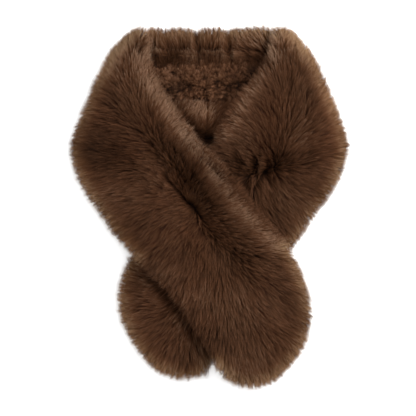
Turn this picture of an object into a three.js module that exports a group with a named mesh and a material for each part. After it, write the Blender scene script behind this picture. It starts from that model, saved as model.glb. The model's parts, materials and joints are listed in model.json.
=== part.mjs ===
// Fur collar wrap, laid flat: one long-pile strip, folded at both shoulders with its ends crossed.
// Millimetres, +Z up. The origin is under the middle of the wrap, on the surface that it lies on.
// The wearer's left end lies over the right one, and the back of the neck is towards +Y.
import * as THREE from 'three';
import { mergeVertices } from 'three/addons/utils/BufferGeometryUtils.js';

// Driving dimensions of the strip
const PILE = 27;              // loose fur and its backing on a strand
const WAIST = 9;              // height of the widest line of a strand's rounded edge
const FOLD_WAIST = 15;        // the same at a shoulder fold, where the strip turns over
const EDGE_ROLL = 16;         // how far in from its edge a strand's underside lies flat
const CROWN = 2.5;            // squareness of a strand's rounded back
const BACK_PILE = 21;         // the wrapped edges of the back stretch, in the open neck
const BACK_WAIST = 0.42;      // height of their widest line, of their pile
const BACK_ROLL = 11;         // how far in from its edge the back stretch lies flat
const TOP_WRAP = 37;          // fur turned over the neck edge of the back stretch
const LOW_WRAP = 66;          // fur turned over its lower edge
const WRAP_TURN = 0.86;       // how far the turned fur rounds back down to the seam, of a half turn
const WRAP_OUTSIDE = 2.3;     // squareness of a wrapped edge outside
const WRAP_INSIDE = 3;        // and towards the seam
const WRAP_SHARE = 0.77;      // most of a narrow section that both wraps take together
const GATHER_TUCK = 0.5;      // how far the neck edge draws in at a gather, of the gather's depth
const CHANNEL = 7;            // pressed fur under the lining
const LINING = 6;             // short plush of the lining
const LINING_SIDE = 0.7;      // height of its sides, of LINING
const LINING_CROWN = 4.3;     // how far its middle swells above its sides
const LINING_ROUND = 2.4;     // squareness of its back
const SEAM_GAP = 0.35;        // parting of the sewn pieces
const SEAM_WALL = 0.4;        // how far the side of the channel leans in
const SEAM_DEPTH = 0.86;      // highest seam, of the pile beside it
const LAY_GAP = 1.3;          // parting of one layer from the one that it lies on
const LAY_RISE = 3;           // height over which that parting opens

// How a thick strand hangs off the edge of what it lies on
const HANG_REACH = 48;
const HANG_DROP = 27;
const GRID = 3;               // spacing of the plan grid that carries the heights
const SOFTENING = 6;          // passes that round the slope off
const PLAN = { x: 168, y: 212 };

// Sections of the strand on top, from the left shoulder fold to its end.
// outer and neck are the ends of the section in plan, pile is the part of PILE that it keeps,
// and fold says how far its underside has come down to the surface round the shoulder fold.
const OVER = [
  { outer: [-152, 58], neck: [-100, 180], pile: 0.72, fold: 1 },
  { outer: [-149, 43], neck: [-87, 192], pile: 0.96, fold: 1 },
  { outer: [-143, 26], neck: [-72, 198], pile: 1.00, fold: 0 },
  { outer: [-139, 18], neck: [-64, 188], pile: 1.00, fold: 0 },
  { outer: [-134, 10], neck: [-63, 163], pile: 1.00, fold: 0 },
  { outer: [-119, -11], neck: [-47, 125], pile: 1.00, fold: 0 },
  { outer: [-102, -33], neck: [-26, 96], pile: 1.00, fold: 0 },
  { outer: [-84, -53], neck: [-5, 67], pile: 0.96, fold: 0 },
  { outer: [-63, -74], neck: [16, 46], pile: 0.94, fold: 0 },
  { outer: [-43, -94], neck: [35, 23], pile: 0.96, fold: 0 },
  { outer: [-27, -116], neck: [55, -3], pile: 0.98, fold: 0 },
  { outer: [-13, -138], neck: [78, -30], pile: 1.02, fold: 0 },
  { outer: [0, -159], neck: [95, -56], pile: 1.06, fold: 0 },
  { outer: [10, -177], neck: [108, -84], pile: 1.06, fold: 0 },
  { outer: [21, -191], neck: [114, -111], pile: 1.02, fold: 0 },
  { outer: [37, -199], neck: [112, -138], pile: 0.95, fold: 0 },
  { outer: [56, -199], neck: [102, -161], pile: 0.80, fold: 0 },
  { outer: [70, -193], neck: [84, -181], pile: 0.56, fold: 0 },
];

// Sections of the strand beneath, from the right shoulder fold to its end
const UNDER = [
  { outer: [154, 61], neck: [105, 179], pile: 0.72, fold: 1 },
  { outer: [150, 45], neck: [92, 193], pile: 0.96, fold: 1 },
  { outer: [144, 28], neck: [77, 198], pile: 1.00, fold: 0 },
  { outer: [140, 20], neck: [68, 189], pile: 1.00, fold: 0 },
  { outer: [135, 12], neck: [63, 163], pile: 1.00, fold: 0 },
  { outer: [120, -8], neck: [44, 135], pile: 0.98, fold: 0 },
  { outer: [103, -33], neck: [21, 105], pile: 0.92, fold: 0 },
  { outer: [83, -61], neck: [3, 67], pile: 0.80, fold: 0 },
  { outer: [60, -94], neck: [-22, 30], pile: 0.74, fold: 0 },
  { outer: [40, -122], neck: [-50, -7], pile: 0.76, fold: 0 },
  { outer: [25, -144], neck: [-74, -37], pile: 0.88, fold: 0 },
  { outer: [15, -160], neck: [-90, -60], pile: 1.00, fold: 0 },
  { outer: [6, -174], neck: [-99, -85], pile: 1.05, fold: 0 },
  { outer: [-6, -185], neck: [-100, -107], pile: 1.02, fold: 0 },
  { outer: [-24, -190], neck: [-95, -128], pile: 0.94, fold: 0 },
  { outer: [-42, -188], neck: [-85, -149], pile: 0.80, fold: 0 },
  { outer: [-56, -181], neck: [-67, -170], pile: 0.56, fold: 0 },
];

// Sections of the back stretch, from the left shoulder to the right one, its lining side up
const BACK = [
  { low: [-116, 60], top: [-71, 195], pile: 0.72 },
  { low: [-95, 55], top: [-62, 198], pile: 0.80 },
  { low: [-61, 51], top: [-42, 198], pile: 0.90 },
  { low: [-22, 50], top: [-16, 198], pile: 1.00 },
  { low: [22, 50], top: [18, 198], pile: 1.00 },
  { low: [61, 51], top: [45, 199], pile: 0.90 },
  { low: [96, 55], top: [66, 199], pile: 0.80 },
  { low: [118, 60], top: [76, 196], pile: 0.72 },
];

// Rounded ends: depth past the last section, and the squareness of the outline there
const SHOULDER_END = { depth: 7, squareness: 2.2, thin: 1.9 };
const LOBE_END = { depth: 1.5, squareness: 2.2, thin: 2.2 };
const BACK_END = { depth: 4, squareness: 2.8, thin: 2.2 };

// Troughs pressed into the pile: partings along the strands and gathers across the neck edge
const OVER_TROUGHS = [
  { from: [-108, 122], to: [-66, 54], depth: 3.5, reach: 9 },
  { from: [-58, 44], to: [-28, 8], depth: 4.5, reach: 11 },
  { from: [-28, 8], to: [16, -54], depth: 6.0, reach: 10 },
  { from: [16, -54], to: [40, -112], depth: 3.0, reach: 11 },
  { from: [-128, 40], to: [-92, 0], depth: 2.5, reach: 9 },
  { from: [62, -62], to: [88, -128], depth: 3.0, reach: 10 },
];
const UNDER_TROUGHS = [
  { from: [84, 152], to: [92, 62], depth: 4.5, reach: 10 },
  { from: [64, 34], to: [38, 22], depth: 5.0, reach: 9 },
  { from: [118, 60], to: [92, -4], depth: 3.0, reach: 9 },
  { from: [-46, -88], to: [-72, -138], depth: 3.5, reach: 10 },
  { from: [-14, -130], to: [-36, -170], depth: 3.0, reach: 9 },
];
const BACK_TROUGHS = [
  { from: [-14, 206], to: [-13, 160], depth: 6.0, reach: 5.5 },
  { from: [21, 206], to: [20, 160], depth: 6.5, reach: 5.5 },
  { from: [35, 172], to: [40, 158], depth: 3.5, reach: 5.5 },
  { from: [-50, 204], to: [-44, 164], depth: 2.5, reach: 7.0 },
  { from: [2, 118], to: [0, 76], depth: 4.0, reach: 7.0 },
];
const LINING_TROUGHS = [
  { from: [-40, 142], to: [-24, 118], depth: 3.0, reach: 7 },
  { from: [4, 160], to: [8, 122], depth: 1.8, reach: 6 },
  { from: [30, 150], to: [42, 128], depth: 1.6, reach: 6 },
];

// How finely the solids are faceted
const STRAND_RINGS = 40;
const BACK_RINGS = 46;
const END_RINGS = 3;
const LAST_RING = 0.35;       // how far past its outermost ring a rounded end would close, in rings
const LINING_INSET = 5;       // sections at each end of the back stretch that have no lining
const CROWN_FACETS = 16;
const WRAP_FACETS = 7;
const LINING_FACETS = 6;
const CHANNEL_FACETS = 4;
const LINING_FLOOR_FACETS = 3;
const STRAND_FLAT_FACETS = 9;
const BACK_FLAT_FACETS = 6;
const ROLL_STEPS = [0.12, 0.48];
const MERGE = 1e-3;

const FUR = { color: 0x4b3a2d, roughness: 0.95, metalness: 0 };
const FUR_DEEP = { color: 0x45352a, roughness: 0.95, metalness: 0 };
const PLUSH = { color: 0x5d4232, roughness: 0.9, metalness: 0 };

const clamp = (value, low, high) => Math.min(high, Math.max(low, value));
const mix = (a, b, share) => a + (b - a) * share;
const mixPoint = (p, q, share) => [mix(p[0], q[0], share), mix(p[1], q[1], share)];
const superRound = (share, power) => Math.pow(Math.max(0, 1 - Math.pow(share, power)), 1 / power);

// A smooth curve through one column of a table, read at 0 to 1 along the table
function column(rows, name) {
  const pick = (row) => (Array.isArray(row[name])
    ? new THREE.Vector3(row[name][0], row[name][1], 0)
    : new THREE.Vector3(row[name], 0, 0));
  const curve = new THREE.CatmullRomCurve3(rows.map(pick), false, 'catmullrom', 0.5);
  return (share) => curve.getPoint(clamp(share, 0, 1));
}

// The sections of a stretch: its two edges and its other columns, with a rounded end at each end
function sections(rows, edges, rings, startEnd, finishEnd) {
  const [first, second, pile] = [...edges, 'pile'].map((name) => column(rows, name));
  const fold = 'fold' in rows[0] ? column(rows, 'fold') : () => ({ x: 0 });
  const at = (share) => {
    const a = first(share);
    const b = second(share);
    const turned = clamp(fold(share).x, 0, 1);
    return { a: [a.x, a.y], b: [b.x, b.y], pile: pile(share).x, fold: turned, thin: 1 };
  };
  const middle = (section) => mixPoint(section.a, section.b, 0.5);
  const rounded = (end, section, inner) => {
    const span = [section.b[0] - section.a[0], section.b[1] - section.a[1]];
    const length = Math.hypot(...span);
    const [x, y] = middle(section);
    const [innerX, innerY] = middle(inner);
    const side = Math.sign(-span[1] * (x - innerX) + span[0] * (y - innerY));
    const out = [(-span[1] / length) * side, (span[0] / length) * side];
    const list = [];
    for (let k = 1; k <= END_RINGS; k += 1) {
      const reach = Math.sin((Math.PI / 2) * (k / (END_RINGS + LAST_RING)));
      const narrow = superRound(reach, end.squareness);
      const move = (p) => [p[0] + out[0] * end.depth * reach, p[1] + out[1] * end.depth * reach];
      const a = move(mixPoint(section.a, section.b, (1 - narrow) / 2));
      const b = move(mixPoint(section.a, section.b, (1 + narrow) / 2));
      list.push({ ...section, a, b, thin: superRound(reach, end.thin) });
    }
    return list;
  };
  const list = rounded(startEnd, at(0), at(1 / rings)).reverse();
  for (let k = 0; k <= rings; k += 1) list.push(at(k / rings));
  return list.concat(rounded(finishEnd, at(1), at(1 - 1 / rings)));
}

// How deep the troughs are at a point of the plan
function troughDepth(troughs, x, y) {
  let depth = 0;
  for (const trough of troughs) {
    const [ax, ay] = trough.from;
    const run = [trough.to[0] - ax, trough.to[1] - ay];
    const share = clamp(((x - ax) * run[0] + (y - ay) * run[1]) / (run[0] ** 2 + run[1] ** 2), 0, 1);
    const away = Math.hypot(x - ax - run[0] * share, y - ay - run[1] * share);
    depth = Math.max(depth, trough.depth * Math.exp(-((away / trough.reach) ** 2)));
  }
  return depth;
}

// Rings joined into one closed body, each end closed by a fan
function loft(rings) {
  const count = rings[0].length;
  const positions = rings.flat(2);
  const index = [];
  for (let r = 0; r + 1 < rings.length; r += 1) {
    for (let p = 0; p < count; p += 1) {
      const a = r * count + p;
      const b = r * count + ((p + 1) % count);
      index.push(a, b, a + count, b, b + count, a + count);
    }
  }
  for (const [ring, flip] of [[0, true], [rings.length - 1, false]]) {
    const middle = positions.length / 3;
    const mean = [0, 1, 2].map((axis) => rings[ring].reduce((sum, p) => sum + p[axis], 0) / count);
    positions.push(...mean);
    for (let p = 0; p < count; p += 1) {
      const a = ring * count + p;
      const b = ring * count + ((p + 1) % count);
      index.push(...(flip ? [b, a, middle] : [a, b, middle]));
    }
  }
  let geometry = new THREE.BufferGeometry();
  geometry.setAttribute('position', new THREE.Float32BufferAttribute(positions, 3));
  geometry.setIndex(index);
  geometry = mergeVertices(geometry, MERGE);
  if (signedVolume(geometry) < 0) {
    const turned = geometry.getIndex().array;
    for (let k = 0; k < turned.length; k += 3) [turned[k], turned[k + 1]] = [turned[k + 1], turned[k]];
  }
  geometry.computeVertexNormals();
  return geometry;
}

// The three corners of each triangle
function corners(geometry) {
  const position = geometry.getAttribute('position');
  const index = geometry.getIndex();
  const list = [];
  for (let k = 0; k < index.count; k += 3) {
    list.push([0, 1, 2].map((n) => new THREE.Vector3().fromBufferAttribute(position, index.getX(k + n))));
  }
  return list;
}

function signedVolume(geometry) {
  return corners(geometry).reduce((sum, [a, b, c]) => sum + a.dot(b.clone().cross(c)) / 6, 0);
}

// The height of the top of the given solids at any place of the plan, 0 where none lies
function reliefOf(geometries) {
  const columns = Math.round((2 * PLAN.x) / GRID) + 1;
  const rows = Math.round((2 * PLAN.y) / GRID) + 1;
  const heights = new Float64Array(columns * rows);
  for (const [a, b, c] of geometries.flatMap(corners)) {
    const area = (b.x - a.x) * (c.y - a.y) - (c.x - a.x) * (b.y - a.y);
    if (area <= 1e-6) continue;
    const low = (axis, half) => Math.ceil((Math.min(a[axis], b[axis], c[axis]) + half) / GRID);
    const high = (axis, half) => Math.floor((Math.max(a[axis], b[axis], c[axis]) + half) / GRID);
    for (let i = low('x', PLAN.x); i <= high('x', PLAN.x); i += 1) {
      for (let j = low('y', PLAN.y); j <= high('y', PLAN.y); j += 1) {
        const x = i * GRID - PLAN.x;
        const y = j * GRID - PLAN.y;
        const u = ((c.x - b.x) * (y - b.y) - (x - b.x) * (c.y - b.y)) / area;
        const v = ((a.x - c.x) * (y - c.y) - (x - c.x) * (a.y - c.y)) / area;
        const w = 1 - u - v;
        if (Math.min(u, v, w) < -1e-9) continue;
        const cell = j * columns + i;
        heights[cell] = Math.max(heights[cell], u * a.z + v * b.z + w * c.z);
      }
    }
  }
  return { columns, rows, heights };
}

// Each place of the relief takes the mean of itself and its neighbours
function soften(heights, columns, rows) {
  const before = heights.slice();
  for (let j = 1; j + 1 < rows; j += 1) {
    for (let i = 1; i + 1 < columns; i += 1) {
      let sum = 0;
      for (const row of [j - 1, j, j + 1]) {
        for (const place of [i - 1, i, i + 1]) sum += before[row * columns + place];
      }
      heights[j * columns + i] = sum / 9;
    }
  }
}

// The same relief under a thick strand, which hangs off each edge in a long soft slope
function drapedOver(geometries) {
  const { columns, rows, heights } = reliefOf(geometries);
  const reach = Math.floor(HANG_REACH / GRID);
  const steps = [];
  for (let i = -reach; i <= reach; i += 1) {
    for (let j = -reach; j <= reach; j += 1) {
      const away = Math.hypot(i, j) * GRID;
      if (away > HANG_REACH) continue;
      steps.push([i, j, (HANG_DROP * (1 - Math.cos((Math.PI * away) / HANG_REACH))) / 2]);
    }
  }
  const soft = new Float64Array(heights.length);
  for (let j = 0; j < rows; j += 1) {
    for (let i = 0; i < columns; i += 1) {
      let best = 0;
      for (const [di, dj, drop] of steps) {
        const x = i + di;
        const y = j + dj;
        if (x < 0 || y < 0 || x >= columns || y >= rows) continue;
        best = Math.max(best, heights[y * columns + x] - drop);
      }
      soft[j * columns + i] = best;
    }
  }
  for (let pass = 0; pass < SOFTENING; pass += 1) soften(soft, columns, rows);
  return (x, y) => {
    const gx = clamp((x + PLAN.x) / GRID, 0, columns - 1.001);
    const gy = clamp((y + PLAN.y) / GRID, 0, rows - 1.001);
    const i = Math.floor(gx);
    const j = Math.floor(gy);
    const at = (di, dj) => soft[(j + dj) * columns + i + di];
    const height = mix(mix(at(0, 0), at(1, 0), gx - i), mix(at(0, 1), at(1, 1), gx - i), gy - j);
    return height + LAY_GAP * clamp(height / LAY_RISE, 0, 1);
  };
}

// The underside of a section, from its second edge back to its first: rounded up to its waist at both
// edges and flat between them. Each point is its place across the section and its height.
function underside(width, roll, waist, facets) {
  const places = ROLL_STEPS.map((step) => step * roll);
  for (let k = 0; k <= facets; k += 1) places.push(roll + ((width - 2 * roll) * k) / facets);
  places.push(...ROLL_STEPS.map((step) => width - step * roll).reverse());
  return places.reverse().map((place) => {
    const inward = clamp(Math.min(place, width - place) / roll, 0, 1);
    return [place, waist * (1 - Math.sqrt(1 - (1 - inward) ** 2))];
  });
}

// One section of a strand: a rounded back, rounded edges and an underside on what it lies on
function strandRing(section, base, troughs) {
  const { a, b, fold, thin } = section;
  const width = Math.hypot(b[0] - a[0], b[1] - a[1]);
  const pile = PILE * section.pile;
  const waist = Math.min(mix(WAIST, FOLD_WAIST, fold), pile * 0.5);
  const roll = Math.min(EDGE_ROLL, width * 0.3);
  const ring = [];
  const add = (x, y, height) => ring.push([x, y, base(x, y) * (1 - fold) + mix(waist, height, thin)]);
  for (let k = 0; k <= CROWN_FACETS; k += 1) {
    const side = Math.cos((Math.PI * k) / CROWN_FACETS);
    const [x, y] = mixPoint(a, b, (1 - side) / 2);
    const rise = superRound(Math.abs(side), CROWN);
    const dip = troughDepth(troughs, x, y);
    add(x, y, waist + (pile + base(x, y) * fold - waist - dip) * rise);
  }
  for (const [place, height] of underside(width, roll, waist, STRAND_FLAT_FACETS)) {
    add(...mixPoint(a, b, place / width), height);
  }
  return ring;
}

// A whole strand, draped over the solids that it lies on
function strand(rows, lower, troughs) {
  const base = drapedOver(lower);
  const list = sections(rows, ['outer', 'neck'], STRAND_RINGS, SHOULDER_END, LOBE_END);
  return loft(list.map((section) => strandRing(section, base, troughs)));
}

// Where the channel for the lining lies across a section of the back stretch
function channel(width) {
  const squeeze = Math.min(1, (width * WRAP_SHARE) / (TOP_WRAP + LOW_WRAP));
  return { low: LOW_WRAP * squeeze, top: width - TOP_WRAP * squeeze };
}

// One section of the back stretch: fur beneath, turned up and over both edges, with a channel between
function backRing(section) {
  const { a, thin } = section;
  const gathered = troughDepth(BACK_TROUGHS, ...section.b) * GATHER_TUCK;
  const full = Math.hypot(section.b[0] - a[0], section.b[1] - a[1]);
  const b = mixPoint(a, section.b, 1 - gathered / full);
  const width = full - gathered;
  const { low, top } = channel(full);
  const pile = BACK_PILE * section.pile;
  const waist = pile * BACK_WAIST;
  const seam = Math.min(CHANNEL + LINING, pile * SEAM_DEPTH);
  const ring = [];
  const add = (place, height) => {
    const [x, y] = mixPoint(a, b, place / width);
    const dip = troughDepth(BACK_TROUGHS, x, y) * clamp((height - waist) / (pile - waist), 0, 1);
    ring.push([x, y, mix(waist, height - dip, thin)]);
  };
  const turned = (from, to) => {
    const points = [];
    for (let k = 0; k <= WRAP_FACETS; k += 1) {
      const side = Math.cos((Math.PI * WRAP_TURN * k) / WRAP_FACETS);
      const place = mix(from, to, (1 - side) / (1 - Math.cos(Math.PI * WRAP_TURN)));
      const lowest = side > 0 ? waist : seam;
      const power = side > 0 ? WRAP_OUTSIDE : WRAP_INSIDE;
      points.push([place, lowest + (pile - lowest) * superRound(Math.abs(side), power)]);
    }
    return points;
  };
  for (const point of turned(0, low)) add(...point);
  for (let k = 0; k <= CHANNEL_FACETS; k += 1) {
    add(mix(low + SEAM_WALL, top - SEAM_WALL, k / CHANNEL_FACETS), CHANNEL);
  }
  for (const point of turned(width, top).reverse()) add(...point);
  for (const point of underside(width, BACK_ROLL, waist, BACK_FLAT_FACETS)) add(...point);
  return ring;
}

// One section of the lining: a low soft strip in the channel, just clear of its walls and floor
function liningRing(section) {
  const { a, b } = section;
  const width = Math.hypot(b[0] - a[0], b[1] - a[1]);
  const { low, top } = channel(width);
  const inset = SEAM_WALL + SEAM_GAP;
  const place = (share) => mixPoint(a, b, mix(low + inset, top - inset, share) / width);
  const floor = CHANNEL + SEAM_GAP;
  const ring = [];
  for (let k = 0; k <= LINING_FACETS; k += 1) {
    const side = Math.cos((Math.PI * k) / LINING_FACETS);
    const [x, y] = place((1 - side) / 2);
    const rise = superRound(Math.abs(side), LINING_ROUND);
    const dip = troughDepth(LINING_TROUGHS, x, y) * rise;
    ring.push([x, y, floor + (LINING * LINING_SIDE + LINING_CROWN * rise) * section.pile - dip]);
  }
  for (let k = LINING_FLOOR_FACETS; k >= 0; k -= 1) {
    ring.push([...place(k / LINING_FLOOR_FACETS), floor]);
  }
  return ring;
}

const backSections = sections(BACK, ['low', 'top'], BACK_RINGS, BACK_END, BACK_END);
const backGeometry = loft(backSections.map(backRing));
const linedSections = backSections.slice(LINING_INSET, -LINING_INSET);
const liningGeometry = loft(linedSections.map(liningRing));
const beneath = [backGeometry, liningGeometry];
const underGeometry = strand(UNDER, beneath, UNDER_TROUGHS);
const overGeometry = strand(OVER, [...beneath, underGeometry], OVER_TROUGHS);

const wrap = new THREE.Group();
const add = (name, geometry, look) => {
  const mesh = new THREE.Mesh(geometry, new THREE.MeshStandardMaterial(look));
  mesh.name = name;
  wrap.add(mesh);
};
add('fur_back', backGeometry, FUR_DEEP);
add('lining_back', liningGeometry, PLUSH);
add('fur_under', underGeometry, FUR);
add('fur_over', overGeometry, FUR);

// The tables are drawn about the crossing, and the whole wrap is centred over its origin
const extent = new THREE.Box3().setFromObject(wrap);
wrap.position.set(-(extent.min.x + extent.max.x) / 2, -(extent.min.y + extent.max.y) / 2, 0);

export default wrap;
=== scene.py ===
"""A long-pile fur collar wrap lying flat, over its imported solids.

Metres, +Z up, and +Y is the photo's top.

Each stretch of the wrap is a thin backing inside its solid and a pile of fine blades that grow from
the backing out to the solid's surface, combed along headings read off the photograph.
"""

import json
import math

import bpy
import numpy as np
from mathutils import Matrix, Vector
from mathutils.bvhtree import BVHTree
from mathutils.kdtree import KDTree

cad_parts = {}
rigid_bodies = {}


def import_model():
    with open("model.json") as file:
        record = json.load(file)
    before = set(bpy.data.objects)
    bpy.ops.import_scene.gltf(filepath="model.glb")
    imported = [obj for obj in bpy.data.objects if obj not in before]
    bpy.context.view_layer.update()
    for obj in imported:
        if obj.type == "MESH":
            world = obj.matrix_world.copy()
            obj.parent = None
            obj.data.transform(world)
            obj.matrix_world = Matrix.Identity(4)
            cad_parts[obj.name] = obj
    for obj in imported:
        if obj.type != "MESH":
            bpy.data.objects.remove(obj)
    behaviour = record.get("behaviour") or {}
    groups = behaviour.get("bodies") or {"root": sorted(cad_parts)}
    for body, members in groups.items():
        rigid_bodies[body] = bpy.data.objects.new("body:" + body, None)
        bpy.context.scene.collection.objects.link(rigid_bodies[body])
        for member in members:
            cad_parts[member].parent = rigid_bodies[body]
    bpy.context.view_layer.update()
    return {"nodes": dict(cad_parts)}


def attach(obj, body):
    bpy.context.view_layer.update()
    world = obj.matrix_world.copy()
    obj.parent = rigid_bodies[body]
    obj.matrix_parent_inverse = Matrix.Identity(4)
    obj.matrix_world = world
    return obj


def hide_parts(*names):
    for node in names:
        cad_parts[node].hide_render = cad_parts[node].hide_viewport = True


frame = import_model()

SEED = 11
rng = np.random.default_rng(SEED)
UP = Vector((0, 0, 1))
DOWN = np.array([0, 0, -1.0])
TINY = 1e-12

# The photograph
PIXEL = 0.0011                   # metres for one of its pixels
ORIGIN_PIXEL = (209.47, 207.26)  # the pixel over the frame's origin
MIDDLE_PIXEL = (208, 208)
PHOTO_WIDTH = 416

# The knitted backing of a stretch
BACKING_FACE = 0.0035            # size of its faces
PILE_DEPTH = 0.011               # how far it lies under the solid's surface, in the long pile
LINING_DEPTH = 0.0022            # and in the lining
PILE_SHARE = 0.38                # the most of the solid's thickness that the pile takes on one side
RAY_START = 0.001                # how far inside the surface the thickness is measured from
DEPTH_ROUNDS = 6                 # rounds that even out the depths
FORM_ROUNDS = 3                  # rounds that even out the backing itself

# Hairs
FUR_LENGTH = 0.021
FUR_WIDTH = 0.00046
FUR_RISE = 0.6                   # how much a hair stands up, for one part along its heading
FUR_SWAY = 7                     # degrees that single hairs stray from their heading
LINING_LENGTH = 0.0075
LINING_WIDTH = 0.00042
LINING_RISE = 0.8
LINING_SWAY = 36
DROOP = 0.25                     # how much the pile hangs at the sides
ARCH = 0.16                      # how far a hair's middle bows off the backing, of its length
FIELD_LENGTHS = (0.72, 1.12)     # range of the lengths of the hairs from all over the backing
RIM_LENGTHS = (0.6, 1.0)         # and of those that end on the sides and edges
FIELD_TRIM = (0.0003, 0.0012)    # how far they end past the solid: mean and spread
RIM_TRIM = (0.0004, 0.0016)
LOWEST = 0.0003                  # how far the pile stays above the floor

# Where the pile is thick
UNDERNEATH = -0.45               # a face whose normal rises less than this is underneath
UNDERSIDE_SHARE = 0.22           # pile underneath, of the pile on top
COVERED_SHARE = 0.3              # pile below another stretch, of the pile in the open
PARTING_FILL = 2.2               # how much more pile there is where the headings part
RIM_SLOPE = 0.72                 # the rim's hairs end on faces whose normals rise less than this
ALL_SLOPES = 2                   # and a limit that no normal reaches

# How the pile lies
COMB_BLUR = 0.008                # reach over which the comb marks are evened out
WANDER = 9                       # degrees that whole patches stray from their heading
WANDER_SPAN = 0.03               # size of these patches
WHORL_RISE = 1.8                 # how much more upright the hair is where the headings part
LOOSE_AT_WHORL = 26              # how many degrees more it strays there
SPILL_GROWTH = 0.9               # how much longer hair that spills over an edge is
SPILL_ONSET = 4                  # how late it grows longer, as a power
RIPPLE_WAVES = 7                 # waves in the smooth noise
RIPPLE_STRETCH = (0.7, 1.5)      # range of their wavelengths
RIPPLE_PHASES = 6.3              # range of their phases

# The rim of a stretch, where the pile faces sideways
RIM_TOP = 0.93                   # the rim starts where a normal rises less than this
RIM_FADE = 0.63                  # and is full where it rises this much less
RIM_REACH = 0.0008               # how far all its hairs stand past the solid
RIM_WISPS = 0.0008               # and how far, on average, single wisps go on
RIM_TUFTS = 0.35                 # how much more unevenly its locks end
RIM_FINENESS = 0.4               # how much finer its hairs are

# The outer edge of the whole wrap, where the tips are painted lighter and olive, as painted
# backlight
RIM_BAND = 0.0135                # how wide the band of painted backlight is
RIM_SIDE = 0.4                   # a side is a face whose normal rises or falls less than this
CLEAR_OF_OWN = 0.006             # how far out the view past a side starts
SEEN_PAST = 0.06                 # how far that view has to be clear

# Locks: about how many hairs each has, how many times as long as wide it is, how far its hairs are
# drawn in and how unevenly locks end
FUR_LOCKS = [(60, 3.0, 0.2, 0.0004), (9, 3.5, 0.5, 0.0005)]
LINING_LOCKS = [(120, 1.3, 0.4, 0.0012), (26, 1.6, 0.6, 0.0007)]
LOCK_CHOICES = 6                 # nearest leaders that a hair chooses from
LOCK_PULL = (0.4, 1.3)           # range of how far single hairs are drawn in, of their lock's
LOCK_LIFT = 0.5                  # how much an uneven lock also stands off the surface
LOCK_MIDDLE = 0.5                # how far a hair's middle follows its tip
VELVET = 0.72                    # how much less of a lock there is where the pile is velvety
VELVET_LIGHT = 0.25              # the painted light at which upright pile counts as fully velvety

# Blades: vertices 0 and 1 at the foot, 2 and 3 in the middle and 4 at the tip
BLADE_VERTICES = 5
BLADE_LOOPS = [0, 1, 3, 2, 2, 3, 4]
BLADE_STARTS = [0, 4]
BLADE_TONES = [0, 0, 1, 1, 2]    # which of the three tones each vertex has
BLADE_TURN = 0.6                 # spread of the turn about its own length, radians
BLADE_WIDTHS = (0.7, 1.2)        # range of the widths
BLADE_MIDDLE = 0.85              # width of the middle, of the foot's
CELL = [(0.1, 0.1), (0.9, 0.1), (0.9, 0.5), (0.1, 0.5), (0.1, 0.5), (0.9, 0.5), (0.5, 0.92)]

# Tones, from 0 dark to 1 light
ROOT_TONE = 0.02
MIDDLE_TONE = 0.33
TIP_TONE = 0.65
LIGHTEST = 0.95
ROOT_CHANGE = 0.1                # how much of a hair's own lightness its root takes
MIDDLE_CHANGE = 0.7              # and its middle
RIM_LIGHT = 0.28                 # how much lighter the tips are painted at the outer edge, as painted backlight
RIM_LIGHT_BELOW = 0.26           # and the middles
HAIR_CONTRAST = 0.065            # how far single hairs differ
FUR_CONTRAST = 0.066             # how dark the gaps between locks are
LINING_CONTRAST = 0.17
PATCH_CONTRAST = 0.05            # how far whole patches differ
PATCH_SPAN = 0.05                # size of these patches

# Colours, linear, and finish
FUR_STOPS = [
    (0.0, (0.004, 0.0018, 0.0009)), (0.35, (0.045, 0.0185, 0.0078)), (0.66, (0.12, 0.054, 0.0265)),
    (0.86, (0.30, 0.18, 0.112)), (1.0, (0.56, 0.41, 0.29)),
]
LINING_STOPS = [
    (0.0, (0.005, 0.0022, 0.0011)), (0.35, (0.06, 0.026, 0.0125)), (0.7, (0.18, 0.083, 0.043)),
    (1.0, (0.40, 0.23, 0.145)),
]
KNIT_STOPS = [(0.3, (0.007, 0.0032, 0.0017)), (0.7, (0.018, 0.0085, 0.0045))]
FUR_DYE = (1.0, 0.9, 0.84)       # tint where the dye took most
LINING_DYE = (1.0, 0.92, 0.86)
DYE_RANGE = (0.3, 0.7)           # noise between which the tint fades
DYE_SCALE = 22
DYE_DETAIL = 3
PAINTED_BACKLIGHT_TINT = (1.01, 1.04, 0.92)       # olive tint of the painted backlight at the outer edge
FUR_ROUGHNESS = 0.62
LINING_ROUGHNESS = 0.7
KNIT_ROUGHNESS = 0.95
KNIT_SCALE = 900
KNIT_BUMP = 0.4
KNIT_DEPTH = 0.0004
CLOTH_SPECULAR = 0.05

# Studio
FLOOR_SIZE = 6
FLOOR_COLOUR = (0.9, 0.9, 0.9, 1)
FLOOR_ROUGHNESS = 0.9
FLOOR_GLOW = 0.5
WHITE = (1, 1, 1, 1)
SKY_STRENGTH = 0.9
KEY_PLACE = (0.95, 0.75, 1.25)
KEY_SIZE = 0.8
KEY_WATTS = 34
LENS = 150
EYE_RISE = 0.015                 # height above the floor at which the photo's scale holds
FAR_CLIP = 20

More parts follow.
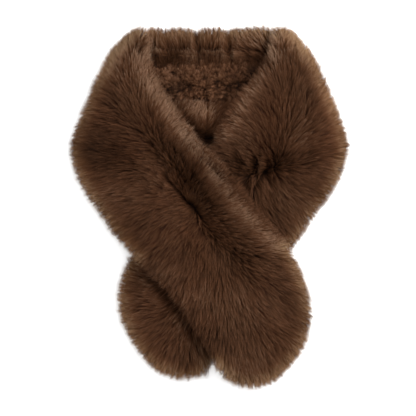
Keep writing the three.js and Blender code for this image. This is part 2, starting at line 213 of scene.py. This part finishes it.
# Comb marks in photo pixels: x, y and the heading of the hair there, degrees counter-clockwise from
# right
OVER_COMB = [
    (130, 35, 108), (115, 50, 128), (100, 70, 148), (87, 100, 165), (73, 136, 176),
    (71, 158, 183), (74, 155, 184), (85, 193, 203), (103, 217, 218), (127, 248, 218),
    (122, 63, 98), (110, 70, 134), (109, 90, 150), (100, 109, 178), (96, 127, 182),
    (113, 122, 172), (130, 100, 132), (140, 74, 82), (149, 100, 64), (158, 118, 56),
    (171, 131, 50), (189, 149, 45), (145, 123, 134), (122, 145, 176), (148, 52, 62),
    (160, 90, 55), (140, 150, 168), (109, 177, 196), (125, 177, 198), (114, 199, 207),
    (136, 182, 193), (157, 177, 158), (152, 204, 202), (136, 226, 216), (157, 215, 218),
    (174, 231, 228), (163, 247, 226), (152, 258, 220), (185, 253, 240), (168, 275, 229),
    (195, 258, 249), (190, 286, 243), (212, 269, 263), (206, 302, 256), (217, 253, 268),
    (190, 166, 62), (201, 182, 37), (212, 196, 17), (217, 215, 5), (212, 226, -3), (206, 166, 50),
    (222, 176, 45), (232, 192, 40), (217, 187, 32), (227, 205, 20), (243, 208, 27),
    (254, 218, 25), (238, 224, 8), (269, 234, 18), (254, 239, 3), (243, 245, -4), (280, 250, 10),
    (269, 260, -8), (248, 264, -30), (290, 260, -2), (301, 271, -5), (275, 276, -20),
    (259, 287, -45), (306, 292, -10), (290, 297, -28), (243, 287, -68), (232, 271, -70),
    (227, 297, -92), (211, 276, -105), (190, 292, -117), (311, 303, -12), (311, 330, -24),
    (297, 358, -42), (276, 378, -58), (253, 387, -80), (237, 385, -100), (224, 376, -124),
    (217, 367, -130), (290, 324, -30), (270, 310, -38), (276, 344, -48), (256, 330, -62),
    (256, 365, -68), (235, 351, -86), (235, 324, -82), (215, 337, -98), (201, 317, -112),
    (182, 289, -125), (187, 307, -120), (201, 340, -114), (209, 354, -112), (180, 200, 186),
    (188, 212, 212), (196, 224, 225), (206, 236, 238), (216, 250, 252), (146, 32, 56),
    (192, 196, 48), (202, 204, 26), (208, 215, 10), (214, 226, -2), (222, 240, -14),
    (146, 42, 38),
]
UNDER_COMB = [
    (285, 30, 78), (295, 36, 60), (306, 47, 50), (322, 70, 38), (334, 98, 30), (343, 115, 22),
    (348, 139, 5), (345, 162, -15), (337, 181, -30), (327, 200, -38), (309, 226, -45),
    (296, 245, -48), (274, 41, 140), (285, 52, 62), (272, 60, 132), (264, 69, 130),
    (253, 85, 147), (243, 98, 150), (234, 110, 155), (227, 123, 158), (219, 136, 160),
    (216, 146, 160), (225, 155, 160), (237, 165, 152), (253, 104, 145), (264, 94, 140),
    (274, 83, 125), (285, 78, 108), (269, 120, 127), (258, 130, 136), (248, 141, 146),
    (274, 136, 115), (264, 152, 118), (253, 160, 136), (295, 94, 74), (295, 115, 76),
    (290, 136, 68), (306, 104, 54), (316, 115, 42), (306, 136, 40), (322, 141, 15),
    (295, 152, 40), (316, 162, -5), (285, 160, 50), (300, 172, -15), (285, 182, -35),
    (275, 192, -50), (296, 197, -42), (317, 182, -28), (264, 192, -58), (280, 213, -52),
    (296, 224, -50), (269, 213, -58), (285, 234, -55), (235, 171, 150), (254, 182, -72),
    (240, 215, -122), (215, 235, -128), (190, 265, -130), (170, 290, -140), (132, 263, 140),
    (125, 265, 155), (119, 282, 170), (117, 299, 180), (121, 321, 200), (132, 343, 215),
    (149, 362, 228), (167, 376, 242), (185, 380, 262), (201, 376, 285), (212, 367, 300),
    (132, 282, 170), (146, 289, 167), (139, 300, 185), (157, 302, 165), (146, 317, 198),
    (146, 329, 212), (163, 326, 218), (157, 340, 230), (173, 332, 238), (167, 354, 245),
    (182, 351, 262), (187, 365, 268), (194, 343, 277), (198, 359, 285), (240, 172, 150),
    (252, 166, 140), (262, 160, 124), (274, 155, 102), (284, 158, 70), (248, 192, -82),
    (258, 188, -68), (268, 182, -56), (278, 177, -40), (288, 171, -20), (271, 33, 122),
]
BACK_COMB = [
    (120, 34, 110), (149, 33, 93), (158, 42, 88), (176, 38, 98), (185, 54, 114), (192, 47, 104),
    (199, 46, 80), (208, 46, 87), (219, 46, 91), (226, 47, 104), (231, 45, 72), (237, 43, 118),
    (248, 41, 110), (253, 36, 104), (264, 34, 98), (274, 34, 90), (295, 34, 70), (249, 52, 165),
    (255, 49, 150), (160, 105, 95), (176, 100, 85), (185, 109, 62), (195, 102, 54),
    (200, 110, 57), (211, 112, 58), (219, 107, 62), (212, 128, 70), (240, 100, 75),
    (180, 142, -90), (212, 146, -90), (245, 142, -90),
]
LINING_COMB = [
    (150, 70, 95), (165, 75, 60), (175, 84, 110), (190, 70, 75), (205, 80, 120), (216, 67, 82),
    (230, 75, 110), (240, 62, 70), (165, 95, -110), (190, 96, -75), (215, 95, -95),
    (235, 94, -70),
]

# Nap and painted light in photo pixels: round marks of x, y and reach, and bands of a path and its
# reach.
# Each ends with how much lighter or darker the tips are painted there, as painted light and painted
# shade, how much more upright the pile stands, and how far it spills over the edge of its stretch
# Painted shade on the strand's left half and low down, painted highlights on the shoulder and near
# the neck edge
OVER_NAP_AND_LIGHT = [
    (108, 145, 30, -0.2, 0, 0), (118, 60, 24, 0.16, 0, 0), (136, 44, 14, 0.22, 0.2, 0),
    (148, 50, 6, 0.1, 0, 0.7), (120, 232, 22, -0.06, 0, 0), (214, 355, 12, -0.03, 0, 0.75),
    (250, 362, 26, 0.08, 0, 0), (150, 80, 14, 0.06, 0, 0),
]
# Painted highlights along the neckline edge and on the shoulder's shaded side, painted shade along
# the parting
OVER_BANDS = [
    ([(141, 58), (153, 84), (167, 106), (184, 130), (200, 152), (216, 173)], 9, 0.32, 0.7, 0.1),
    ([(216, 173), (232, 195), (250, 215), (266, 231), (280, 245)], 9, 0.28, 0.6, 0.1),
    ([(143, 33), (151, 39), (152, 56)], 5, 0.26, 0, 0.2),
    ([(180, 172), (192, 198), (206, 218), (222, 238), (238, 254)], 8, -0.05, 1.1, 0),
]
# Painted shade at the whorl and the V between the lobes, painted highlights on the upper right and
# the right side
UNDER_NAP_AND_LIGHT = [
    (262, 173, 18, -0.06, 0.8, 0), (264, 171, 8, 0.14, 0.3, 0), (292, 48, 22, 0.18, 0, 0),
    (294, 208, 20, 0.06, 0, 0), (271, 48, 7, 0.06, 0.2, 0.7), (208, 359, 12, -0.03, 0, 0.75),
    (308, 132, 22, 0.06, 0, 0),
]
# Painted highlights along the neck edge and on the shoulder's shaded side, and painted light that
# lifts the over strand's shadow on the lobe
UNDER_BANDS = [
    ([(270, 60), (262, 74), (248, 94), (234, 116), (222, 138)], 7, 0.2, 0, 0.4),
    ([(279, 33), (271, 39), (270, 54)], 5, 0.34, 0, 0.2),
    ([(134, 268), (152, 288), (172, 312), (190, 338), (202, 356)], 8, 0.14, 0, 0),
]
# Painted shade at the V between the strands, under the top wrap's overhang and in its creases;
# painted highlights on the top wrap, the shoulders and the low wrap
BACK_NAP_AND_LIGHT = [
    (196, 105, 15, 0.38, 0, 0), (209, 142, 15, -0.4, 0, 0), (260, 42, 16, 0.16, 0, 0),
    (250, 58, 10, -0.2, 0, 0), (157, 46, 7, 0.1, 0.3, 0.5), (265, 46, 7, 0.05, 0.3, 0.5),
    (229, 112, 7, -0.3, 0, 0), (152, 58, 6, -0.3, 0, 0), (211, 110, 10, 0.28, 0, 0),
]
# Painted highlights across the top wrap and on the shoulders' shaded sides, painted shade along the
# overhang's shadow line and low down under the crossing
BACK_BANDS = [
    ([(150, 42), (275, 42)], 12, 0.12, 0, 0),
    ([(146, 31), (154, 38), (155, 50)], 5, 0.2, 0, 0.2),
    ([(276, 31), (267, 38), (266, 50)], 5, 0.28, 0, 0.2),
    ([(152, 59), (180, 60)], 3.5, -0.22, 0, 0),
    ([(188, 54), (234, 54)], 5, 0.16, 0, 0),
    ([(170, 96), (230, 96)], 6, 0, 0, 0.5),
    ([(190, 156), (235, 156)], 12, -0.3, 0, 1.3),
]
# Painted shade beside the strands' neck edges, painted highlights on the lining
LINING_NAP_AND_LIGHT = [
    (172, 92, 9, -0.22, 0, 0.2), (205, 74, 20, 0.06, 0, 0.2), (252, 70, 10, -0.25, 0, 0.2),
    (163, 74, 12, 0.2, 0, 0.2), (240, 86, 9, -0.3, 0, 0.2),
]


def photo_to_plan(pixels):
    """Photo pixels as x and y in the frame."""
    pixels = np.asarray(pixels, float)
    across, up = pixels[..., 0] - ORIGIN_PIXEL[0], ORIGIN_PIXEL[1] - pixels[..., 1]
    return np.stack((across, up), -1) * PIXEL


def unit(vectors):
    """The vectors at length one."""
    return vectors / np.maximum(np.linalg.norm(vectors, axis=-1, keepdims=True), TINY)


def dot(a, b):
    """Row by row products, kept as a column."""
    return (a * b).sum(-1, keepdims=True)


def link(obj):
    """Puts an object in the scene and returns it."""
    bpy.context.scene.collection.objects.link(obj)
    return obj


def ripple(points, wavelength):
    """Smooth seeded noise from about -1 to 1 at points, from waves in all directions."""
    total = np.zeros(len(points))
    for _ in range(RIPPLE_WAVES):
        direction = unit(rng.normal(size=3))
        stretch = rng.uniform(*RIPPLE_STRETCH)
        waves = points @ direction * (2 * math.pi / (wavelength * stretch))
        total += np.sin(waves + rng.uniform(0, RIPPLE_PHASES))
    return total / math.sqrt(RIPPLE_WAVES)


def headings(points, marks):
    """Unit headings in plan at points, blended from the comb marks near them, and how far these
    agree."""
    marks = np.array(marks, float)
    places = photo_to_plan(marks[:, :2])
    angles = np.radians(marks[:, 2])
    gaps = ((points[:, None, :2] - places[None]) ** 2).sum(2)
    weights = 1 / (gaps + COMB_BLUR**2) ** 2
    blended = weights @ np.stack((np.cos(angles), np.sin(angles), np.zeros(len(marks))), 1)
    return unit(blended), np.linalg.norm(blended, axis=1) / weights.sum(1)


def off_path(points, path):
    """How far points are in plan from a path through photo pixels."""
    corners = photo_to_plan(path)
    gaps = []
    for a, b in zip(corners[:-1], corners[1:]):
        along = np.clip((points[:, :2] - a) @ (b - a) / ((b - a) @ (b - a)), 0, 1)
        gaps.append(np.linalg.norm(points[:, :2] - a - along[:, None] * (b - a), axis=1))
    return np.min(gaps, axis=0)


def nap_and_painted_light(points, marks, bands):
    """Painted light and shade on the tips, and how much more upright and less trimmed the pile is
    at points.
    """
    marks = np.array(marks, float)
    gaps = ((points[:, None, :2] - photo_to_plan(marks[:, :2])[None]) ** 2).sum(2)
    total = np.exp(-gaps / (marks[:, 2] * PIXEL) ** 2) @ marks[:, 3:]
    for path, reach, *amounts in bands:
        near = np.exp(-(off_path(points, path) / (reach * PIXEL)) ** 2)
        total += near[:, None] * amounts
    lighter, upright, spill = total.T
    return lighter, upright, np.clip(spill, 0, 1)


def vertex_array(mesh, what):
    """What a mesh's vertices hold, "co" or "normal", as an array."""
    values = np.empty(len(mesh.vertices) * 3, np.float32)
    mesh.vertices.foreach_get(what, values)
    return values.reshape(-1, 3).astype(float)


def triangles(mesh):
    """A mesh's triangles as vertex numbers."""
    mesh.calc_loop_triangles()
    corners = np.empty(len(mesh.loop_triangles) * 3, np.int32)
    mesh.loop_triangles.foreach_get("vertices", corners)
    return corners.reshape(-1, 3)


def facets(mesh):
    """A mesh's triangles as vertex numbers, with their centres, normals and areas."""
    places, corners = vertex_array(mesh, "co"), triangles(mesh)
    a, b, c = (places[corners[:, i]] for i in range(3))
    across = np.cross(b - a, c - a)
    return corners, (a + b + c) / 3, unit(across), np.linalg.norm(across, axis=1) / 2


def tree_of(mesh):
    """A search tree of a mesh's faces."""
    return BVHTree.FromPolygons(vertex_array(mesh, "co").tolist(), triangles(mesh).tolist())


SOLIDS = {name: tree_of(node.data) for name, node in frame["nodes"].items()}


def other_solids(node):
    """Search trees of the solids beside a node's own."""
    return [tree for name, tree in SOLIDS.items() if name != node]


def spread(values, edges, rounds):
    """Values at vertices, evened out along the edges."""
    for _ in range(rounds):
        total = np.zeros_like(values)
        count = np.zeros(len(values))
        for a, b in ((0, 1), (1, 0)):
            np.add.at(total, edges[:, a], values[edges[:, b]])
            np.add.at(count, edges[:, a], 1)
        shape = (-1,) + (1,) * (values.ndim - 1)
        values = (values + total / np.maximum(count, 1).reshape(shape)) / 2
    return values


def backing(node, depth):
    """The knitted backing of a stretch: its solid's form drawn in by the pile's depth."""
    source = link(bpy.data.objects.new(node + "_backing", frame["nodes"][node].data.copy()))
    even = source.modifiers.new("even_faces", "REMESH")
    even.mode = "VOXEL"
    even.voxel_size = BACKING_FACE
    graph = bpy.context.evaluated_depsgraph_get()
    mesh = bpy.data.meshes.new_from_object(source.evaluated_get(graph))
    source.modifiers.clear()
    source.data = mesh
    places, normals = vertex_array(mesh, "co"), vertex_array(mesh, "normal")
    edges = np.empty(len(mesh.edges) * 2, np.int32)
    mesh.edges.foreach_get("vertices", edges)
    edges = edges.reshape(-1, 2)
    depths = np.full(len(places), depth)
    for i, (place, normal) in enumerate(zip(places, normals)):
        inward = Vector(-normal)
        *_, thickness = SOLIDS[node].ray_cast(Vector(place) + inward * RAY_START, inward)
        if thickness is not None:
            depths[i] = min(depth, thickness * PILE_SHARE)
    places -= normals * spread(depths, edges, DEPTH_ROUNDS)[:, None]
    places = spread(places, edges, FORM_ROUNDS)
    mesh.vertices.foreach_set("co", places.astype(np.float32).ravel())
    mesh.polygons.foreach_set("use_smooth", [True] * len(mesh.polygons))
    mesh.update()
    mesh.materials.clear()
    mesh.materials.append(GROUND)
    return source


def exposure(node, centres, normals, comb):
    """How much pile each face needs: more at partings, less underneath and below another
    stretch."""
    parting = 1 - headings(centres, comb)[1]
    under = np.where(normals[:, 2] < UNDERNEATH, UNDERSIDE_SHARE, 1.0)
    shown = under * (1 + PARTING_FILL * parting)
    others = other_solids(node)
    for i, centre in enumerate(centres):
        if any(tree.ray_cast(Vector(centre), UP)[0] is not None for tree in others):
            shown[i] *= COVERED_SHARE
    return shown


def scatter(node, mesh, count, comb, steepest=ALL_SLOPES):
    """Places on a mesh and the normals there, on faces whose normals rise less than steepest."""
    places, normals = vertex_array(mesh, "co"), vertex_array(mesh, "normal")
    corners, centres, facing, areas = facets(mesh)
    weights = areas * exposure(node, centres, facing, comb) * (facing[:, 2] < steepest)
    chosen = rng.choice(len(corners), count, p=weights / weights.sum())
    u, v = rng.random(count), rng.random(count)
    flip = u + v > 1
    u[flip], v[flip] = 1 - u[flip], 1 - v[flip]
    share = np.stack((1 - u - v, u, v), 1)[:, :, None]
    roots = (places[corners[chosen]] * share).sum(1)
    return roots, unit((normals[corners[chosen]] * share).sum(1))


def nearest(tree, points):
    """The nearest places of a search tree's faces and the normals there."""
    found = [tree.find_nearest(Vector(p)) for p in points]
    places = np.array([f[0][:] for f in found])
    normals = np.array([f[1][:] for f in found])
    return places, normals


def leans(points, normals, comb, upright, rise, sway):
    """The way that each hair leans: along the comb marks, up from the surface and down with its
    weight."""
    count = len(points)
    heading, agreement = headings(points, comb)
    rise = (rise + upright + WHORL_RISE * (1 - agreement))[:, None]
    loose = sway + LOOSE_AT_WHORL * (1 - agreement)
    turn = np.radians(rng.normal(0, 1, count) * loose + WANDER * ripple(points, WANDER_SPAN))
    heading = np.stack((heading[:, 0] * np.cos(turn) - heading[:, 1] * np.sin(turn),
                        heading[:, 0] * np.sin(turn) + heading[:, 1] * np.cos(turn),
                        np.zeros(count)), 1)
    along = heading - dot(heading, normals) * normals
    down = DOWN * (1 - normals[:, 2:3]) * DROOP
    return unit(along + normals * rise + down)


def arch(roots, tips, normals, lengths):
    """The middle of each hair, arched off the backing."""
    bend = (roots + tips) / 2 + normals * lengths[:, None] * ARCH
    return roots / 4 + bend / 2 + tips / 4


def rimness(facing):
    """1 where the pile faces sideways, 0 on top of a stretch."""
    return np.clip((RIM_TOP - np.abs(facing[:, 2])) / RIM_FADE, 0, 1)


def past_solid(facing, trim):
    """How far each hair is to end past the solid: unevenly trimmed, and at the rim a little further
    and here and there with a wisp."""
    uneven = rng.normal(*trim, len(facing))
    return facing * (uneven + (RIM_REACH + rng.exponential(RIM_WISPS, len(facing)))
                     * rimness(facing))[:, None]


def field_hairs(node, base, count, comb, nap_and_light_marks, length, rise, sway):
    """Hairs from all over the backing, trimmed a little unevenly round the solid's surface."""
    roots, normals = scatter(node, base.data, count, comb)
    _, upright, spill = nap_and_painted_light(roots, *nap_and_light_marks)
    lengths = length * rng.uniform(*FIELD_LENGTHS, count) * (1 + SPILL_GROWTH * spill**SPILL_ONSET)
    reach = roots + leans(roots, normals, comb, upright, rise, sway) * lengths[:, None]
    trimmed, facing = nearest(SOLIDS[node], reach)
    trimmed = trimmed + past_solid(facing, FIELD_TRIM)
    tips = trimmed + (reach - trimmed) * spill[:, None]
    return roots, arch(roots, tips, normals, lengths), tips, facing


def rim_hairs(node, base, count, comb, nap_and_light_marks, length, rise, sway):
    """Hairs that end all over the solid's sides and edges, from the backing behind them."""
    tips, facing = scatter(node, frame["nodes"][node].data, count, comb, steepest=RIM_SLOPE)
    _, upright, _ = nap_and_painted_light(tips, *nap_and_light_marks)
    lengths = length * rng.uniform(*RIM_LENGTHS, count)
    behind = tips - leans(tips, facing, comb, upright, rise, sway) * lengths[:, None]
    roots, normals = nearest(tree_of(base.data), behind)
    tips = tips + past_solid(facing, RIM_TRIM)
    return roots, arch(roots, tips, normals, lengths), tips, facing


def outer_edge(node):
    """A search tree, in plan, of the places where the sides of a stretch are the wrap's outer edge,
    with no stretch beneath, above or close in front."""
    mesh = frame["nodes"][node].data
    places = vertex_array(mesh, "co")
    corners, centres, facing, _ = facets(mesh)
    others = other_solids(node)
    edge = []
    for i in np.flatnonzero(np.abs(facing[:, 2]) < RIM_SIDE):
        centre = Vector(centres[i])
        out = Vector((facing[i, 0], facing[i, 1], 0)).normalized()
        ways = [(tree, centre, way) for tree in others for way in (out, UP, -UP)]
        ways.append((SOLIDS[node], centre + out * CLEAR_OF_OWN, out))
        if all(tree.ray_cast(start, way, SEEN_PAST)[0] is None for tree, start, way in ways):
            edge += [centres[i], *places[corners[i]]]
    plan = KDTree(len(edge))
    for x, y, _ in edge:
        plan.insert((x, y, 0), 0)
    plan.balance()
    return plan


def outer_rim(node, points):
    """1 at the wrap's outer edge, falling to 0 a band's width inside it."""
    edge = outer_edge(node)
    gaps = np.array([edge.find((x, y, 0))[2] for x, y, _ in points])
    return np.clip(1 - gaps / RIM_BAND, 0, 1)


def gather(roots, middles, tips, facing, velvet, hairs_each, slimness, pull, ragged):
    """Draws hairs sideways and a little lengthways into locks, of about so many hairs and so many
    times as long as they are wide. They end unevenly, less so where the pile is velvety. Returns
    each hair's lock."""
    count = len(roots)
    leaders = rng.choice(count, count // hairs_each, replace=False)
    tree = KDTree(len(leaders))
    for i, hair in enumerate(leaders):
        tree.insert(tips[hair], i)
    tree.balance()
    near = np.array([[found[1] for found in tree.find_n(tip, LOCK_CHOICES)] for tip in tips])
    along = unit(tips - roots)
    away = tips[leaders][near] - tips[:, None]
    lengthways = (away * along[:, None]).sum(2)
    apart = (away**2).sum(2) - (1 - 1 / slimness**2) * lengthways**2
    chosen = apart.argmin(1)
    rows = np.arange(count)
    lock = near[rows, chosen]
    sideways = away[rows, chosen] - along * lengthways[rows, chosen, None]
    loose = 1 - VELVET * velvet
    strength = (pull * loose * rng.uniform(*LOCK_PULL, count))[:, None]
    shift = sideways * strength + along * lengthways[rows, chosen, None] * strength / slimness
    ends = rng.normal(0, ragged, len(leaders))[lock]
    uneven = (ends * loose * (1 + RIM_TUFTS * rimness(facing)))[:, None]
    tips += shift + (along + facing * LOCK_LIFT) * uneven
    middles += shift * LOCK_MIDDLE
    return lock


def point_attribute(mesh, name, values):
    """Stores one number for each vertex."""
    attribute = mesh.attributes.new(name, "FLOAT", "POINT")
    attribute.data.foreach_set("value", values.astype(np.float32).ravel())


def blades(name, roots, middles, tips, facing, width, tones, rim):
    """One mesh of flat blades: each has a four-sided foot, a three-sided tip and a cell for
    baking."""
    count = len(roots)
    axis = unit(tips - roots)
    side = unit(np.cross(axis, facing))
    turn = rng.normal(0, BLADE_TURN, count)[:, None]
    side = side * np.cos(turn) + np.cross(axis, side) * np.sin(turn)
    widths = width * rng.uniform(*BLADE_WIDTHS, count) * (1 - RIM_FINENESS * rimness(facing))
    half = side * (widths / 2)[:, None]
    bow = half * BLADE_MIDDLE
    places = np.stack((roots - half, roots + half, middles - bow, middles + bow, tips), 1)
    places[..., 2] = np.maximum(places[..., 2], LOWEST)
    rows = np.arange(count)[:, None]
    mesh = bpy.data.meshes.new(name)
    mesh.vertices.add(count * BLADE_VERTICES)
    mesh.vertices.foreach_set("co", places.astype(np.float32).ravel())
    loops = rows * BLADE_VERTICES + BLADE_LOOPS
    mesh.loops.add(loops.size)
    mesh.loops.foreach_set("vertex_index", loops.astype(np.int32).ravel())
    starts = rows * len(BLADE_LOOPS) + BLADE_STARTS
    mesh.polygons.add(starts.size)
    mesh.polygons.foreach_set("loop_start", starts.astype(np.int32).ravel())
    mesh.polygons.foreach_set("use_smooth", np.ones(starts.size, bool))
    point_attribute(mesh, "tone", tones[:, BLADE_TONES])
    point_attribute(mesh, "painted_backlight", rim.repeat(BLADE_VERTICES))
    columns = math.ceil(math.sqrt(count))
    cells = np.stack((np.arange(count) % columns, np.arange(count) // columns), 1)[:, None]
    layer = mesh.uv_layers.new(name="OFBake")
    layer.data.foreach_set("uv", ((cells + np.array(CELL)) / columns).astype(np.float32).ravel())
    mesh.update()
    mesh.validate()
    return link(bpy.data.objects.new(name, mesh))


def node_tree(name):
    """A new material, its nodes, its links and its shader."""
    material = bpy.data.materials.new(name)
    material.use_nodes = True
    nodes = material.node_tree.nodes
    return material, nodes, material.node_tree.links, nodes["Principled BSDF"]


def ramp(nodes, stops):
    """A colour ramp through stops of position and linear colour."""
    node = nodes.new("ShaderNodeValToRGB")
    elements = node.color_ramp.elements
    while len(elements) < len(stops):
        elements.new(0.5)
    for element, (position, colour) in zip(elements, stops):
        element.position = position
        element.color = (*colour, 1)
    return node


def noise(nodes, links, scale):
    """A noise texture fixed to the object."""
    place = nodes.new("ShaderNodeTexCoord")
    texture = nodes.new("ShaderNodeTexNoise")
    texture.inputs["Scale"].default_value = scale
    links.new(place.outputs["Object"], texture.inputs["Vector"])
    return texture


def attribute(nodes, name):
    """A node that reads one of the pile's numbers."""
    node = nodes.new("ShaderNodeAttribute")
    node.attribute_name = name
    return node.outputs["Fac"]


def multiply(nodes):
    """A node that multiplies two colours."""
    node = nodes.new("ShaderNodeMix")
    node.data_type = "RGBA"
    node.blend_type = "MULTIPLY"
    return node


def fur_material(name, stops, dyed, roughness):
    """Dyed pile: dark at the root and light at the tip, painted lighter and olive at the outer edge
    as painted backlight, with uneven dye.
    """
    material, nodes, links, shader = node_tree(name)
    colours = ramp(nodes, stops)
    links.new(attribute(nodes, "tone"), colours.inputs["Fac"])
    # Olive tint of the painted backlight at the outer edge
    olive = multiply(nodes)
    olive.inputs["B"].default_value = (*PAINTED_BACKLIGHT_TINT, 1)
    links.new(attribute(nodes, "painted_backlight"), olive.inputs["Factor"])
    links.new(colours.outputs["Color"], olive.inputs["A"])
    dye = noise(nodes, links, DYE_SCALE)
    dye.inputs["Detail"].default_value = DYE_DETAIL
    tint = ramp(nodes, list(zip(DYE_RANGE, (dyed, (1, 1, 1)))))
    links.new(dye.outputs["Fac"], tint.inputs["Fac"])
    mixed = multiply(nodes)
    mixed.inputs["Factor"].default_value = 1
    links.new(olive.outputs["Result"], mixed.inputs["A"])
    links.new(tint.outputs["Color"], mixed.inputs["B"])
    links.new(mixed.outputs["Result"], shader.inputs["Base Color"])
    shader.inputs["Roughness"].default_value = roughness
    shader.inputs["Specular IOR Level"].default_value = CLOTH_SPECULAR
    return material


def backing_material():
    """The knitted ground that the pile grows from."""
    material, nodes, links, shader = node_tree("knitted_ground")
    knit = noise(nodes, links, KNIT_SCALE)
    colours = ramp(nodes, KNIT_STOPS)
    links.new(knit.outputs["Fac"], colours.inputs["Fac"])
    links.new(colours.outputs["Color"], shader.inputs["Base Color"])
    bump = nodes.new("ShaderNodeBump")
    bump.inputs["Strength"].default_value = KNIT_BUMP
    bump.inputs["Distance"].default_value = KNIT_DEPTH
    links.new(knit.outputs["Fac"], bump.inputs["Height"])
    links.new(bump.outputs["Normal"], shader.inputs["Normal"])
    shader.inputs["Roughness"].default_value = KNIT_ROUGHNESS
    shader.inputs["Specular IOR Level"].default_value = CLOTH_SPECULAR
    return material


def tones_of(rim, lock, patch, velvet, contrast):
    """Tone at each hair's root, middle and tip, uneven by hair, lock and patch, with the patch's
    painted light and shade and the rim's painted backlight.
    """
    gaps = contrast * (1 - rng.exponential(1, lock.max() + 1))
    uneven = rng.normal(0, HAIR_CONTRAST, len(lock)) + gaps[lock]
    level = uneven * (1 - VELVET * velvet) + patch
    root = ROOT_TONE + level * ROOT_CHANGE
    middle = MIDDLE_TONE + level * MIDDLE_CHANGE + rim * RIM_LIGHT_BELOW
    tip = TIP_TONE + level + rim * RIM_LIGHT
    return np.clip(np.stack((root, middle, tip), 1), 0, LIGHTEST)


def dress(node, comb, nap_and_light_marks, hairs, parts, flat, depth, length, width, rise, sway, locks, contrast,
          edge, material, slot):
    """One stretch: its backing and its pile, in parts, riding on the body and standing for its
    solid. The hairs are those from all over the backing and those of the rim, and edge says whether
    the stretch reaches the wrap's outer edge."""
    base = backing(node, depth)
    sets = [make(node, base, count, comb, nap_and_light_marks, length, rise, sway)
            for make, count in zip((field_hairs, rim_hairs), hairs) if count]
    roots, middles, tips, facing = (np.concatenate(column) for column in zip(*sets))
    lighter, upright, _ = nap_and_painted_light(tips, *nap_and_light_marks)
    # patch: the marks' painted light and shade on the tips, with random patches of tone
    patch = lighter + PATCH_CONTRAST * ripple(tips, PATCH_SPAN)
    velvet = np.clip(upright, 0, 1) * np.clip(lighter / VELVET_LIGHT, 0, 1)
    for kind in locks:
        lock = gather(roots, middles, tips, facing, velvet, *kind)
    # Painted backlight: how far into the wrap's outer band each tip lies
    rim = outer_rim(node, tips) if edge else np.zeros(len(tips))
    tones = tones_of(rim, lock, patch, velvet, contrast)
    piles = []
    for part in range(parts):
        own = slice(part, None, parts)
        pile = blades(f"{node}_pile_{part + 1}", roots[own], middles[own], tips[own], facing[own],
                      width, tones[own], rim[own])
        pile.data.materials.append(material)
        piles.append(pile)
    for piece in [base, *piles]:
        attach(piece, "root")
        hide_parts(node)


def floor():
    """The pale surface that the wrap lies on."""
    bpy.ops.mesh.primitive_plane_add(size=FLOOR_SIZE, location=(0, 0, 0))
    plane = bpy.context.object
    plane.name = "floor"
    material, _, _, shader = node_tree("pale_floor")
    shader.inputs["Base Color"].default_value = FLOOR_COLOUR
    shader.inputs["Roughness"].default_value = FLOOR_ROUGHNESS
    shader.inputs["Emission Color"].default_value = WHITE
    shader.inputs["Emission Strength"].default_value = FLOOR_GLOW
    plane.data.materials.append(material)


def studio():
    """Plain soft light from above, with the key towards the photo's top right."""
    world = bpy.data.worlds.new("studio")
    bpy.context.scene.world = world
    world.use_nodes = True
    sky = world.node_tree.nodes["Background"]
    sky.inputs["Color"].default_value = WHITE
    sky.inputs["Strength"].default_value = SKY_STRENGTH
    data = bpy.data.lights.new("key", "AREA")
    data.size = KEY_SIZE
    data.energy = KEY_WATTS
    key = link(bpy.data.objects.new("key", data))
    key.location = KEY_PLACE
    key.rotation_euler = (-Vector(KEY_PLACE)).to_track_quat("-Z", "Y").to_euler()
    bpy.context.scene.view_settings.view_transform = "Standard"


def camera():
    """Straight above, through a long lens, framing what the photograph frames."""
    data = bpy.data.cameras.new("camera")
    data.lens = LENS
    data.clip_end = FAR_CLIP
    eye = link(bpy.data.objects.new("camera", data))
    height = PHOTO_WIDTH * PIXEL * data.lens / data.sensor_width
    eye.location = (*photo_to_plan(MIDDLE_PIXEL), height + EYE_RISE)
    bpy.context.scene.camera = eye


for start in [o for o in bpy.data.objects if o.name in ("Cube", "Light", "Camera")]:
    bpy.data.objects.remove(start)
floor()
studio()
camera()
GROUND = backing_material()
fur = dict(depth=PILE_DEPTH, length=FUR_LENGTH, width=FUR_WIDTH, rise=FUR_RISE, sway=FUR_SWAY,
           locks=FUR_LOCKS, contrast=FUR_CONTRAST, edge=True,
           material=fur_material("dyed_fur", FUR_STOPS, FUR_DYE, FUR_ROUGHNESS), slot="fur")
lining = dict(depth=LINING_DEPTH, length=LINING_LENGTH, width=LINING_WIDTH, rise=LINING_RISE,
              sway=LINING_SWAY, locks=LINING_LOCKS, contrast=LINING_CONTRAST, edge=False,
              material=fur_material("plush_lining", LINING_STOPS, LINING_DYE, LINING_ROUGHNESS),
              slot="lining")
dress("fur_over", OVER_COMB, (OVER_NAP_AND_LIGHT, OVER_BANDS), hairs=(92000, 38000), parts=2,
      flat=(0.13, 0.42), **fur)
dress("fur_under", UNDER_COMB, (UNDER_NAP_AND_LIGHT, UNDER_BANDS), hairs=(64000, 30000), parts=2,
      flat=(0.13, 0.42), **fur)
dress("fur_back", BACK_COMB, (BACK_NAP_AND_LIGHT, BACK_BANDS), hairs=(30000, 16000), parts=1,
      flat=(0.13, 0.235), **fur)
dress("lining_back", LINING_COMB, (LINING_NAP_AND_LIGHT, []), hairs=(26000, 0), parts=1,
      flat=(0.041, 0.175), **lining)
